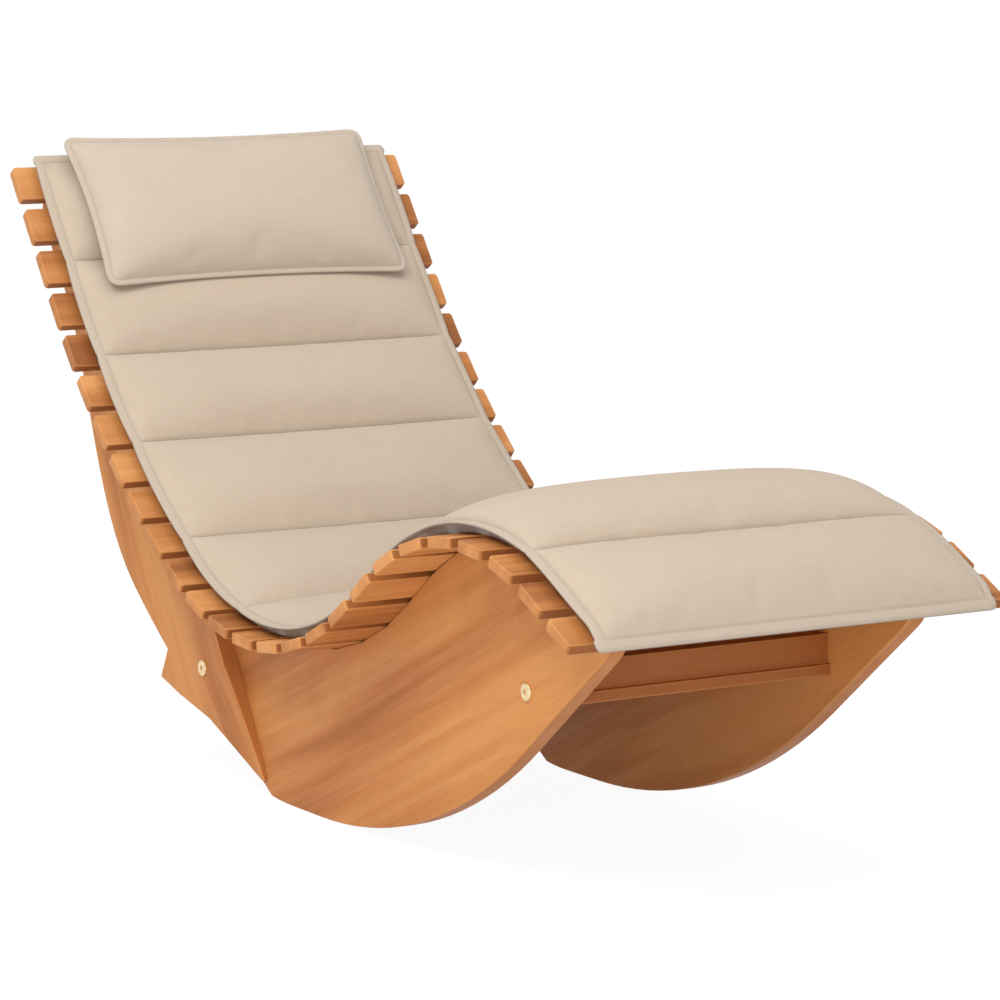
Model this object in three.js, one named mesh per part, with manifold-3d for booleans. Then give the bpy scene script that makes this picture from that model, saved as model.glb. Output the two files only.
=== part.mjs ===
// Rocking chaise lounge: a slatted, S-shaped seat on two rocker boards, with a quilted pad and a head pillow.
// Millimetres. +X runs from the head to the feet, +Y across the seat, +Z up, and the floor is Z = 0.

import * as THREE from 'three';
import { mergeVertices } from 'three/addons/utils/BufferGeometryUtils.js';
import Module from 'manifold-3d';

// Seat line: the underside of the slats, seen from the side, from the middle of the head slat to the feet
const backAngle = 54;
const backStraightLength = 182;
const backBendRadius = 1250;
const backBendTurn = 22;
const seatRadius = 415;
const seatTurn = 68;
const thighStraightLength = 80;
const kneeRadius = 335;
const kneeTurn = 63;
const seatHeight = 215;

// Slats
const slatCount = 26;
const slatLength = 600;
const slatWidth = 52;
const slatThickness = 14;
const slatPitchLength = 67.2;
const slatEndRadius = 5;
const slatEdgeRadius = 2.5;

// Rocker boards, which leave the first slats at the head to the rails
const boardSpanWidth = 436;
const boardThickness = 23;
const boardEdgeRadius = 1.5;
const boardFreeSlatCount = 8;
const rockerLeadDistance = -4;
const rockerFlatLength = 80;
const rockerFrontRadius = 800;
const rockerFrontTurn = 38;
const rockerRearRadius = 420;
const rockerRearTurn = 7;
const boardHeelDistance = 270;
const boardHeelHeight = 42;
const noseInsetLength = 8;
const noseDepth = 30;
const noseLean = 22;
const noseRadius = 16;

// Back rails, bolted to the outside of the rocker boards
const railThickness = 22;
const railSlatCount = 9;
const railHeadOverlapLength = 14;
const railHeadDepth = 58;
const railHeadRadius = 46;
const railHeelDepth = 168;
const railSwellStartDistance = 137;
const railSwellEndDistance = 517;
const railNotchDistance = 625;
const railTailDistance = 629;
const railTailDepth = 213;
const railKinkDistance = 231;
const railKinkHeight = 36;
const railTipDistance = 100;
const railTipHeight = 12;
const railTipRadius = 10;
const railFrontAngle = 53;
const railFrontLength = 205;
const railTaperLength = 165;
const railTaperThickness = 4;

// Cross beams between the rocker boards, placed along the seat line and below it
const beamThickness = 24;
const beamHeight = 50;
const beamFootDepth = 18;
const beamLedgeWidth = 6;
const beamLedgeHeight = 14;
const beamEdgeRadius = 1.5;
const rearBeamDistance = 702;
const rearBeamDepth = 122;
const frontBeamDistance = 1501;
const frontBeamDepth = 163;

// Hex-socket bolts through the boards into the beam ends
const boltHeadRadius = 10.5;
const boltHeadHeight = 3.5;
const boltHeadEdgeRadius = 1.2;
const boltShankRadius = 4;
const boltGripLength = 45;
const boltSocketWidth = 6;
const boltSocketDepth = 2.4;

// Quilted pad, measured along the seat line from the middle of the head slat
const padWidth = 548;
const padHeadOverlapLength = 33;
const padFootOverlapLength = 44;
const padWeltWidth = 12;
const padWeltHeight = 10;
const padWeltThickness = 4;
const padCrownHeight = 30;
const padSeamHeight = 16;
const padFootInsetWidth = 8;
const padDrawInDepth = 3;
const padSeamShares = [0.096, 0.184, 0.27, 0.374, 0.476, 0.577, 0.677, 0.774, 0.9];

// Head pillow
const pillowWidth = 466;
const pillowDepth = 236;
const pillowDistance = 78;
const pillowWeltWidth = 8;
const pillowWeltHeight = 13;
const pillowWeltThickness = 4;
const pillowCrownHeight = 56;
const pillowFootInsetWidth = 22;
const pillowDrawInDepth = 7;

// Clearance between pieces that touch, and the overrun of a cut
const clearance = 0.3;
const overrun = 5;

// Counts and shares that set how finely round shapes are cut
const cornerSteps = 3;
const roundSteps = 12;
const rockerFrontSteps = 18;
const noseSteps = 4;
const rockerRearSteps = 3;
const railSteps = 22;
const railFrontSteps = 8;
const socketSides = 6;
const easedCurveShare = 0.75;
const channelShares = [0.12, 0.38, 0.62, 0.88];
const acrossShares = [-1, -0.94, -0.8, -0.48, 0, 0.48, 0.8, 0.94, 1];
const pillowShares = [-0.94, -0.8, -0.48, 0, 0.48, 0.8, 0.94];

const wasm = await Module();
wasm.setup();

const radians = THREE.MathUtils.degToRad;

// Solids: a closed geometry becomes a manifold for cuts, and comes back as a geometry
function toSolid(geometry) {
  const bare = geometry.clone();
  bare.deleteAttribute('normal');
  bare.deleteAttribute('uv');
  const merged = mergeVertices(bare);
  const corners = merged.index.array;
  const kept = [];
  for (let i = 0; i < corners.length; i += 3) {
    const [a, b, c] = corners.slice(i, i + 3);
    if (a !== b && b !== c && c !== a) kept.push(a, b, c);
  }
  const vertProperties = new Float32Array(merged.attributes.position.array);
  return new wasm.Manifold(new wasm.Mesh({ numProp: 3, vertProperties, triVerts: new Uint32Array(kept) }));
}

function toGeometry(solid) {
  const { vertProperties, triVerts } = solid.getMesh();
  const geometry = new THREE.BufferGeometry();
  geometry.setAttribute('position', new THREE.BufferAttribute(vertProperties, 3));
  geometry.setIndex(new THREE.BufferAttribute(triVerts, 1));
  geometry.computeVertexNormals();
  return geometry;
}

// The same geometry seen in the plane Y = 0, with its faces turned to point out again
function mirrored(geometry) {
  const twin = geometry.clone().scale(1, -1, 1);
  const corners = twin.index.array;
  for (let i = 0; i < corners.length; i += 3) {
    [corners[i], corners[i + 1]] = [corners[i + 1], corners[i]];
  }
  twin.computeVertexNormals();
  return twin;
}

// A profile drawn in the X-Z plane becomes a board of this thickness, centred on Y = 0, with its edges eased
function board(shape, thickness, edge) {
  const geometry = new THREE.ExtrudeGeometry(shape, {
    depth: thickness - 2 * edge,
    bevelThickness: edge,
    bevelSize: edge,
    bevelOffset: -edge,
    bevelSegments: 1,
    curveSegments: roundSteps,
  });
  geometry.translate(0, 0, edge - thickness / 2);
  geometry.rotateX(Math.PI / 2);
  return geometry;
}

function boltHole(centre) {
  return new THREE.Path().absarc(centre.x, centre.y, boltShankRadius + clearance, 0, 2 * Math.PI, true);
}

// Seat line as straights and arcs, each with its start, its heading and the distance where it starts
const seatRuns = [
  { length: backStraightLength, turn: 0 },
  { radius: backBendRadius, turn: radians(backBendTurn) },
  { radius: seatRadius, turn: radians(seatTurn) },
  { length: thighStraightLength, turn: 0 },
  { radius: kneeRadius, turn: -radians(kneeTurn) },
  { length: slatPitchLength * slatCount, turn: 0 },
];

function advance(start, run, distance) {
  const heading = new THREE.Vector2(Math.cos(start.angle), Math.sin(start.angle));
  if (run.turn === 0) {
    return { point: start.point.clone().addScaledVector(heading, distance), angle: start.angle };
  }
  const side = Math.sign(run.turn);
  const angle = start.angle + (side * distance) / run.radius;
  const inward = new THREE.Vector2(-heading.y, heading.x);
  const centre = start.point.clone().addScaledVector(inward, side * run.radius);
  const arm = new THREE.Vector2(Math.sin(angle), -Math.cos(angle));
  return { point: centre.addScaledVector(arm, side * run.radius), angle };
}

function traceSeat(headHeight) {
  let place = { point: new THREE.Vector2(0, headHeight), angle: -radians(backAngle) };
  let covered = 0;
  return seatRuns.map((run) => {
    const length = run.turn === 0 ? run.length : run.radius * Math.abs(run.turn);
    const stretch = { run, start: place, from: covered, to: covered + length };
    place = advance(place, run, length);
    covered += length;
    return stretch;
  });
}

// The lowest point of the seat lies where the line runs level, and its height above the floor is seatHeight
const seatRise = radians(backAngle - backBendTurn);
const levelDistance = backStraightLength + backBendRadius * radians(backBendTurn) + seatRadius * seatRise;
const lowSeat = placeOn(traceSeat(0), levelDistance).point;
const seatLine = traceSeat(seatHeight - lowSeat.y);

function placeOn(line, distance) {
  const stretch = line.find((each) => distance <= each.to) ?? line[line.length - 1];
  return advance(stretch.start, stretch.run, distance - stretch.from);
}

// A point at this distance along the seat line and this rise above it, as X and Z
function along(distance, rise) {
  const { point, angle } = placeOn(seatLine, distance);
  return new THREE.Vector2(point.x - rise * Math.sin(angle), point.y + rise * Math.cos(angle));
}

const slatPlaces = Array.from({ length: slatCount }, (_, i) => placeOn(seatLine, i * slatPitchLength));

// Boards carry each slat on its own flat, and two flats meet halfway between their slats
function flatsMeet(i) {
  const [before, after] = [slatPlaces[i], slatPlaces[i + 1]];
  const meet = along((i + 0.5) * slatPitchLength, 0);
  const mean = (before.angle + after.angle) / 2;
  const up = new THREE.Vector2(-Math.sin(mean), Math.cos(mean));
  const over = [before, after].map(({ point, angle }) => {
    const offset = meet.clone().sub(point);
    return offset.y * Math.cos(angle) - offset.x * Math.sin(angle);
  });
  return meet.addScaledVector(up, -Math.max(...over) - clearance);
}

const flatCorners = Array.from({ length: slatCount - 1 }, (_, i) => flatsMeet(i));

// Rocker curve: a flat at rest under the sitter, a front curve up to the nose and a short, tighter rear arc
const lowestX = lowSeat.x + rockerLeadDistance;
const frontCentre = new THREE.Vector2(lowestX + rockerFlatLength / 2, rockerFrontRadius);
const rearCentre = new THREE.Vector2(lowestX - rockerFlatLength / 2, rockerRearRadius);

function rearArcHeight(x) {
  return rockerRearRadius - Math.sqrt(rockerRearRadius ** 2 - (rearCentre.x - x) ** 2);
}

function arcPoint(centre, radius, angle) {
  return new THREE.Vector2(centre.x + radius * Math.sin(angle), centre.y - radius * Math.cos(angle));
}

// The front of the rocker: an arc from the flat, then a sweep that carries it on to the nose
function rockerFront(noseFoot) {
  const turn = radians(rockerFrontTurn);
  const arc = Array.from({ length: rockerFrontSteps + 1 }, (_, i) => (
    arcPoint(frontCentre, rockerFrontRadius, (turn * i) / rockerFrontSteps)
  ));
  const arcEnd = arc[rockerFrontSteps];
  const heading = new THREE.Vector2(Math.cos(turn), Math.sin(turn));
  const halfway = arcEnd.clone().addScaledVector(heading, noseFoot.distanceTo(arcEnd) / 2);
  const sweep = new THREE.QuadraticBezierCurve(arcEnd, halfway, noseFoot);
  return [...arc, ...sweep.getPoints(noseSteps).slice(1, -1)];
}

// A sharp corner is rounded over more than its own radius, until the curve is wide enough to ease its edge
function roundCorner(shape, before, corner, after, round) {
  const toBefore = before.clone().sub(corner);
  const toAfter = after.clone().sub(corner);
  const half = Math.acos(toBefore.dot(toAfter) / toBefore.length() / toAfter.length()) / 2;
  const easedReach = (boardEdgeRadius * easedCurveShare * Math.cos(half)) / Math.sin(half) ** 2;
  const reach = Math.max(round, easedReach);
  const inward = toBefore.setLength(reach).add(corner);
  const outward = toAfter.setLength(reach).add(corner);
  const curve = new THREE.QuadraticBezierCurve(inward, corner, outward);
  curve.getPoints(cornerSteps).forEach((point) => shape.lineTo(point.x, point.y));
}

// A point at this distance behind the lowest point of the rocker and this height above its rear arc
function behindRocker(distance, height) {
  const x = lowestX - distance;
  return new THREE.Vector2(x, rearArcHeight(x) + height);
}

// The board's rear edge runs straight from its heel, behind the rail, to the end of the rear arc
const boardHeel = behindRocker(boardHeelDistance, boardHeelHeight);

const beamPlaces = {
  rear: along(rearBeamDistance, -rearBeamDepth),
  front: along(frontBeamDistance, -frontBeamDepth),
};

function rockerBoardShape() {
  const shape = new THREE.Shape();
  shape.moveTo(boardHeel.x, boardHeel.y);
  for (let i = 0; i <= rockerRearSteps; i += 1) {
    const turn = radians(rockerRearTurn) * (1 - i / rockerRearSteps);
    const point = arcPoint(rearCentre, rockerRearRadius, -turn);
    shape.lineTo(point.x, point.y);
  }
  const noseTop = along((slatCount - 1) * slatPitchLength - noseInsetLength, -clearance);
  const lean = new THREE.Vector2(-Math.sin(radians(noseLean)), -Math.cos(radians(noseLean)));
  const noseFoot = noseTop.clone().addScaledVector(lean, noseDepth);
  const underside = rockerFront(noseFoot);
  underside.forEach((point) => shape.lineTo(point.x, point.y));
  roundCorner(shape, underside[underside.length - 1], noseFoot, noseTop, noseRadius);
  shape.lineTo(noseTop.x, noseTop.y);
  flatCorners.slice(boardFreeSlatCount - 1).reverse().forEach((point) => shape.lineTo(point.x, point.y));
  shape.closePath();
  shape.holes.push(boltHole(beamPlaces.rear), boltHole(beamPlaces.front));
  return shape;
}

// Depth of the back rail below the seat line: slim at the head, swelling smoothly to the heel
function railDepth(distance) {
  const swell = THREE.MathUtils.smoothstep(distance, railSwellStartDistance, railSwellEndDistance);
  return railHeadDepth + (railHeelDepth - railHeadDepth) * swell;
}

const railTip = behindRocker(railTipDistance, railTipHeight);
const railKink = behindRocker(railKinkDistance, railKinkHeight);
const frontAngle = -radians(railFrontAngle);
const railFrontHeading = new THREE.Vector2(Math.cos(frontAngle), Math.sin(frontAngle));
const railFrontTop = flatCorners[railSlatCount - 1];
const railFrontSweep = railFrontTop.clone().addScaledVector(railFrontHeading, railFrontLength);

function backRailShape() {
  const tail = along(railTailDistance, -railTailDepth);
  const shape = new THREE.Shape();
  shape.moveTo(tail.x, tail.y);
  shape.lineTo(railKink.x, railKink.y);
  roundCorner(shape, railKink, railTip, railFrontSweep, railTipRadius);
  const frontEdge = new THREE.QuadraticBezierCurve(railTip, railFrontSweep, railFrontTop);
  for (let i = 1; i <= railFrontSteps; i += 1) {
    const point = frontEdge.getPoint(i / railFrontSteps);
    shape.lineTo(point.x, point.y);
  }
  flatCorners.slice(0, railSlatCount - 1).reverse().forEach((point) => shape.lineTo(point.x, point.y));
  const headTop = along(-railHeadOverlapLength, -clearance);
  const headFoot = along(-railHeadOverlapLength, -railHeadDepth);
  const rearStart = along(railHeadRadius, -railHeadDepth);
  shape.lineTo(headTop.x, headTop.y);
  roundCorner(shape, headTop, headFoot, rearStart, railHeadRadius);
  for (let i = 1; i <= railSteps; i += 1) {
    const distance = railHeadRadius + ((railNotchDistance - railHeadRadius) * i) / railSteps;
    const point = along(distance, -railDepth(distance));
    shape.lineTo(point.x, point.y);
  }
  shape.closePath();
  shape.holes.push(boltHole(beamPlaces.rear));
  return shape;
}

// The rail's outer face, at -Y, is planed down towards its lower tip
function backRail() {
  const blank = toSolid(board(backRailShape(), railThickness, boardEdgeRadius));
  const shave = Math.atan2(railThickness - railTaperThickness, railTaperLength);
  const wedge = new THREE.BoxGeometry(2 * railTaperLength, railThickness, 2 * railTaperLength);
  wedge.translate(railTaperLength, -railThickness / 2, 0);
  wedge.rotateZ(shave);
  const tipHeading = railTip.clone().sub(railFrontSweep);
  wedge.translate(-railTaperLength, -railThickness / 2, 0);
  wedge.rotateY(-tipHeading.angle());
  wedge.translate(railTip.x, 0, railTip.y);
  return toGeometry(blank.subtract(toSolid(wedge)));
}

// Beam section about its bolt, with a narrow ledge along its lower front edge
function beamShape() {
  const shape = new THREE.Shape();
  shape.moveTo(-beamThickness / 2, -beamFootDepth);
  shape.lineTo(beamThickness / 2 + beamLedgeWidth, -beamFootDepth);
  shape.lineTo(beamThickness / 2 + beamLedgeWidth, beamLedgeHeight - beamFootDepth);
  shape.lineTo(beamThickness / 2, beamLedgeHeight - beamFootDepth);
  shape.lineTo(beamThickness / 2, beamHeight - beamFootDepth);
  shape.lineTo(-beamThickness / 2, beamHeight - beamFootDepth);
  shape.closePath();
  return shape;
}

const beamLength = boardSpanWidth - 2 * boardThickness - 2 * clearance;

function crossBeam() {
  const holeLength = boltGripLength + overrun;
  const bore = new THREE.CylinderGeometry(
    boltShankRadius + clearance,
    boltShankRadius + clearance,
    2 * holeLength,
    roundSteps,
  );
  return [-1, 1].reduce((beam, side) => {
    const hole = bore.clone().translate(0, (side * beamLength) / 2, 0);
    return beam.subtract(toSolid(hole));
  }, toSolid(board(beamShape(), beamLength, beamEdgeRadius)));
}

// Bolt along Y: the head's flat underside is at Y = 0 and the shank runs towards -Y
function bolt(shankLength) {
  const profile = [
    new THREE.Vector2(0, -shankLength),
    new THREE.Vector2(boltShankRadius - boltHeadEdgeRadius, -shankLength),
    new THREE.Vector2(boltShankRadius, boltHeadEdgeRadius - shankLength),
    new THREE.Vector2(boltShankRadius, 0),
    new THREE.Vector2(boltHeadRadius, 0),
    new THREE.Vector2(boltHeadRadius, boltHeadHeight - boltHeadEdgeRadius),
    new THREE.Vector2(boltHeadRadius - boltHeadEdgeRadius, boltHeadHeight),
    new THREE.Vector2(0, boltHeadHeight),
  ];
  const body = toSolid(new THREE.LatheGeometry(profile, 2 * roundSteps));
  const socketRadius = boltSocketWidth / 2 / Math.cos(Math.PI / socketSides);
  const socketLength = boltSocketDepth + overrun;
  const socket = new THREE.CylinderGeometry(socketRadius, socketRadius, socketLength, socketSides);
  socket.translate(0, boltHeadHeight - boltSocketDepth + socketLength / 2, 0);
  return toGeometry(body.subtract(toSolid(socket)));
}

// Slat lying in its own frame: +X across its width, Y along its length, its underside on Z = 0
function slat() {
  const [x, y, r] = [slatWidth / 2, slatLength / 2, slatEndRadius];
  const shape = new THREE.Shape();
  shape.absarc(x - r, r - y, r, -Math.PI / 2, 0);
  shape.absarc(x - r, y - r, r, 0, Math.PI / 2);
  shape.absarc(r - x, y - r, r, Math.PI / 2, Math.PI);
  shape.absarc(r - x, r - y, r, Math.PI, 1.5 * Math.PI);
  shape.closePath();
  const geometry = new THREE.ExtrudeGeometry(shape, {
    depth: slatThickness - 2 * slatEdgeRadius,
    bevelThickness: slatEdgeRadius,
    bevelSize: slatEdgeRadius,
    bevelOffset: -slatEdgeRadius,
    bevelSegments: 1,
    curveSegments: cornerSteps,
  });
  geometry.translate(0, 0, slatEdgeRadius);
  return geometry;
}

// Cushions are lofted from closed cross sections: a crowned top, a thin welt all round and a flat foot
function crownAcross(share) {
  return Math.sqrt(1 - share ** 4);
}

function cushionSection({ halfWidth, welt, weltBottom, weltTop, rise, foot, inset, place }) {
  const inner = halfWidth - welt;
  const top = acrossShares.map((share) => [share * inner, weltTop + rise * crownAcross(share)]);
  const loop = [
    [-halfWidth, weltTop],
    ...top,
    [halfWidth, weltTop],
    [halfWidth, weltBottom],
    [inner, weltBottom],
    [inner - inset, foot],
    [inset - inner, foot],
    [-inner, weltBottom],
    [-halfWidth, weltBottom],
  ];
  return loop.map(([y, height]) => place(y, height));
}

// Each end is closed by two fans, one over the points of its top and one over those of its underside
function loft(sections) {
  const size = sections[0].length;
  const tops = acrossShares.length + 2;
  const last = (sections.length - 1) * size;
  const corners = [];
  for (let row = 0; row < last; row += size) {
    for (let i = 0; i < size; i += 1) {
      const a = row + i;
      const b = row + ((i + 1) % size);
      corners.push(a, a + size, b, b, a + size, b + size);
    }
  }
  for (let i = 0; i < size - 1; i += 1) {
    if (i !== tops - 1) {
      const hub = i < tops - 1 ? size - 1 : tops - 1;
      corners.push(hub, i, i + 1, last + hub, last + i + 1, last + i);
    }
  }
  const geometry = new THREE.BufferGeometry();
  const positions = sections.flat().flatMap((point) => point.toArray());
  geometry.setAttribute('position', new THREE.Float32BufferAttribute(positions, 3));
  geometry.setIndex(corners);
  geometry.computeVertexNormals();
  return geometry;
}

// Pad rows: a welt at both ends, and between the seams of each channel a crown that fills it
const padStart = -padHeadOverlapLength;
const padEnd = (slatCount - 1) * slatPitchLength + padFootOverlapLength;
const padLength = padEnd - padStart;
const padSeams = [
  padStart + padWeltWidth,
  ...padSeamShares.map((share) => padStart + share * padLength),
  padEnd - padWeltWidth,
];

function channelPuff(share) {
  return Math.sqrt(Math.sin(Math.PI * share));
}

function padRows() {
  const endRow = (distance) => ({ distance, rise: 0, foot: padWeltHeight, drawIn: 0 });
  const weltTop = padWeltHeight + padWeltThickness;
  const rows = [endRow(padStart), endRow(padSeams[0])];
  for (let i = 0; i < padSeams.length - 1; i += 1) {
    const [from, to] = [padSeams[i], padSeams[i + 1]];
    channelShares.forEach((share) => {
      const puff = channelPuff(share);
      const rise = padSeamHeight - weltTop + (padCrownHeight - padSeamHeight) * puff;
      rows.push({ distance: from + share * (to - from), rise, foot: 0, drawIn: padDrawInDepth * (1 - puff) });
    });
    if (i < padSeams.length - 2) {
      rows.push({ distance: to, rise: padSeamHeight - weltTop, foot: 0, drawIn: padDrawInDepth });
    }
  }
  rows.push(endRow(padEnd - padWeltWidth), endRow(padEnd));
  return rows;
}

// Over the knee the pad clears the slats' corners, which stand out of the curve, and its own long facets
const longestChannel = Math.max(...padSeams.slice(1).map((seam, i) => seam - padSeams[i]));
const padFacet = (channelShares[1] - channelShares[0]) * longestChannel;
const kneeSag = (chord) => chord ** 2 / (8 * (kneeRadius + slatThickness));
const padLift = clearance + kneeSag(slatWidth) + kneeSag(padFacet);
const padBase = slatThickness + padLift;

function seatPad() {
  const sections = padRows().map(({ distance, rise, foot, drawIn }) => cushionSection({
    halfWidth: padWidth / 2 - drawIn,
    welt: padWeltWidth,
    weltBottom: padWeltHeight,
    weltTop: padWeltHeight + padWeltThickness,
    rise,
    foot,
    inset: padFootInsetWidth,
    place: (y, height) => {
      const point = along(distance, padBase + height);
      return new THREE.Vector3(point.x, y, point.y);
    },
  }));
  return loft(sections);
}

// Pillow in its own frame: +X down the back, its flat underside on Z = 0
function headPillow() {
  const weltTop = pillowWeltHeight + pillowWeltThickness;
  const half = pillowDepth / 2;
  const inner = half - pillowWeltWidth;
  const endRows = (sign) => [half, inner].map((x) => ({ x: sign * x, rise: 0, foot: pillowWeltHeight }));
  const middleRows = pillowShares.map((share) => ({
    x: share * inner,
    rise: (pillowCrownHeight - weltTop) * crownAcross(share),
    foot: Math.abs(share) > pillowShares[pillowShares.length - 2] ? pillowWeltHeight * share ** 4 : 0,
  }));
  const rows = [...endRows(-1), ...middleRows, ...endRows(1).reverse()];
  const sections = rows.map(({ x, rise, foot }) => cushionSection({
    halfWidth: pillowWidth / 2 - pillowDrawInDepth * (1 - (x / half) ** 2),
    welt: pillowWeltWidth,
    weltBottom: pillowWeltHeight,
    weltTop,
    rise,
    foot,
    inset: pillowFootInsetWidth,
    place: (y, height) => {
      const pull = pillowDrawInDepth * (1 - Math.min(1, (2 * y) / pillowWidth) ** 2);
      return new THREE.Vector3(x * (1 - pull / half), y, height);
    },
  }));
  return loft(sections);
}

// Finishes
const slatWood = new THREE.MeshStandardMaterial({ color: '#cf8f55', roughness: 0.5, metalness: 0 });
const boardWood = new THREE.MeshStandardMaterial({ color: '#c37f49', roughness: 0.48, metalness: 0 });
const beamWood = new THREE.MeshStandardMaterial({ color: '#b5713d', roughness: 0.5, metalness: 0 });
const paleBrass = new THREE.MeshStandardMaterial({ color: '#dccb9a', roughness: 0.35, metalness: 0.9 });
const padCloth = new THREE.MeshStandardMaterial({ color: '#cfbfa8', roughness: 0.9, metalness: 0 });
const pillowCloth = new THREE.MeshStandardMaterial({ color: '#d2c2ac', roughness: 0.9, metalness: 0 });

function piece(name, geometry, material) {
  const mesh = new THREE.Mesh(geometry, material);
  mesh.name = name;
  return mesh;
}

// Assembly
const chaise = new THREE.Group();

function addSlats() {
  const slats = new THREE.Group();
  const geometry = slat();
  slatPlaces.forEach(({ point, angle }, i) => {
    const mesh = piece(`slat_${String(i + 1).padStart(2, '0')}`, geometry, slatWood);
    mesh.position.set(point.x, 0, point.y);
    mesh.rotation.y = -angle;
    slats.add(mesh);
  });
  chaise.add(slats);
}

function addFrame() {
  const frame = new THREE.Group();
  const rocker = board(rockerBoardShape(), boardThickness, boardEdgeRadius);
  const rightRail = backRail();
  const rails = { right: rightRail, left: mirrored(rightRail) };
  const railOffset = boardSpanWidth / 2 + clearance + railThickness / 2;
  Object.entries({ right: -1, left: 1 }).forEach(([side, sign]) => {
    const rockerBoard = piece(`rocker_board_${side}`, rocker, boardWood);
    rockerBoard.position.y = sign * (boardSpanWidth / 2 - boardThickness / 2);
    const rail = piece(`back_rail_${side}`, rails[side], boardWood);
    rail.position.y = sign * railOffset;
    frame.add(rockerBoard, rail);
  });
  const beam = toGeometry(crossBeam());
  Object.entries(beamPlaces).forEach(([end, place]) => {
    const mesh = piece(`cross_beam_${end}`, beam, beamWood);
    mesh.position.set(place.x, 0, place.y);
    frame.add(mesh);
  });
  chaise.add(frame);
}

function addBolts() {
  const bolts = new THREE.Group();
  const boardFace = boardSpanWidth / 2 + clearance;
  const railFace = boardFace + railThickness + clearance;
  const faces = { rear: railFace, front: boardFace };
  Object.entries(faces).forEach(([end, face]) => {
    const geometry = bolt(face - beamLength / 2 + boltGripLength);
    Object.entries({ right: -1, left: 1 }).forEach(([side, sign]) => {
      const mesh = piece(`bolt_${end}_${side}`, geometry, paleBrass);
      mesh.position.set(beamPlaces[end].x, sign * face, beamPlaces[end].y);
      if (sign < 0) mesh.rotation.x = Math.PI;
      bolts.add(mesh);
    });
  });
  chaise.add(bolts);
}

function addCushions() {
  chaise.add(piece('seat_pad', seatPad(), padCloth));
  const pillow = piece('head_pillow', headPillow(), pillowCloth);
  const rest = along(pillowDistance, padBase + padCrownHeight + clearance);
  pillow.position.set(rest.x, 0, rest.y);
  pillow.rotation.y = -placeOn(seatLine, pillowDistance).angle;
  chaise.add(pillow);
}

addSlats();
addFrame();
addBolts();
addCushions();

// The origin is on the floor, under the middle of the whole chaise
const bounds = new THREE.Box3().setFromObject(chaise, true);
chaise.position.x = -(bounds.min.x + bounds.max.x) / 2;

export default chaise;
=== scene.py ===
"""Looks of a rocking chaise lounge: oiled slats and rocker boards, a quilted linen pad and a head pillow.

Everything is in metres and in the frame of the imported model: +X runs from the head to the feet,
+Y across the seat, +Z up, and the floor is Z = 0.
"""

import logging
import math
import random
from dataclasses import dataclass
from enum import Enum
from typing import ClassVar

import bmesh
import bpy
import numpy as np
from mathutils import Matrix, Vector


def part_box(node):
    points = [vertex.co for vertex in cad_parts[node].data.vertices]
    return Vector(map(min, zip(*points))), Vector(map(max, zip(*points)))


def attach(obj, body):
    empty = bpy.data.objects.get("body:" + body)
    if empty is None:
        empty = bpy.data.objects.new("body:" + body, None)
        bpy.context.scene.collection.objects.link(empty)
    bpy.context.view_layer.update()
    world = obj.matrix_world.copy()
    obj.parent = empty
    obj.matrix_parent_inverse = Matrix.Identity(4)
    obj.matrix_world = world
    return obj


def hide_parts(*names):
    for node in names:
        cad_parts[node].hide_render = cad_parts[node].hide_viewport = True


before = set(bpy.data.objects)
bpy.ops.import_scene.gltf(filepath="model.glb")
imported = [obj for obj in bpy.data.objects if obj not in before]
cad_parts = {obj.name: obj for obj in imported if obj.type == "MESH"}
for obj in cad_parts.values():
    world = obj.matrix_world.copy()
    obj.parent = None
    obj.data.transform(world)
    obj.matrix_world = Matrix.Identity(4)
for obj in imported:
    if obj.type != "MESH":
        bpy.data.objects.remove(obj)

LOG = logging.getLogger("chaise")
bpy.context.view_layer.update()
BODY = "root"
MM = 0.001
TOUCHING = 1e-6  # points nearer than this are one
NEARLY_TOUCHING = 1e-5
FACING = 0.9  # a face looks along an axis when its normal has this share along it
WHITE = (1.0, 1.0, 1.0)

Socket = bpy.types.NodeSocket
Triple = tuple[float, float, float]


# Node trees


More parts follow.
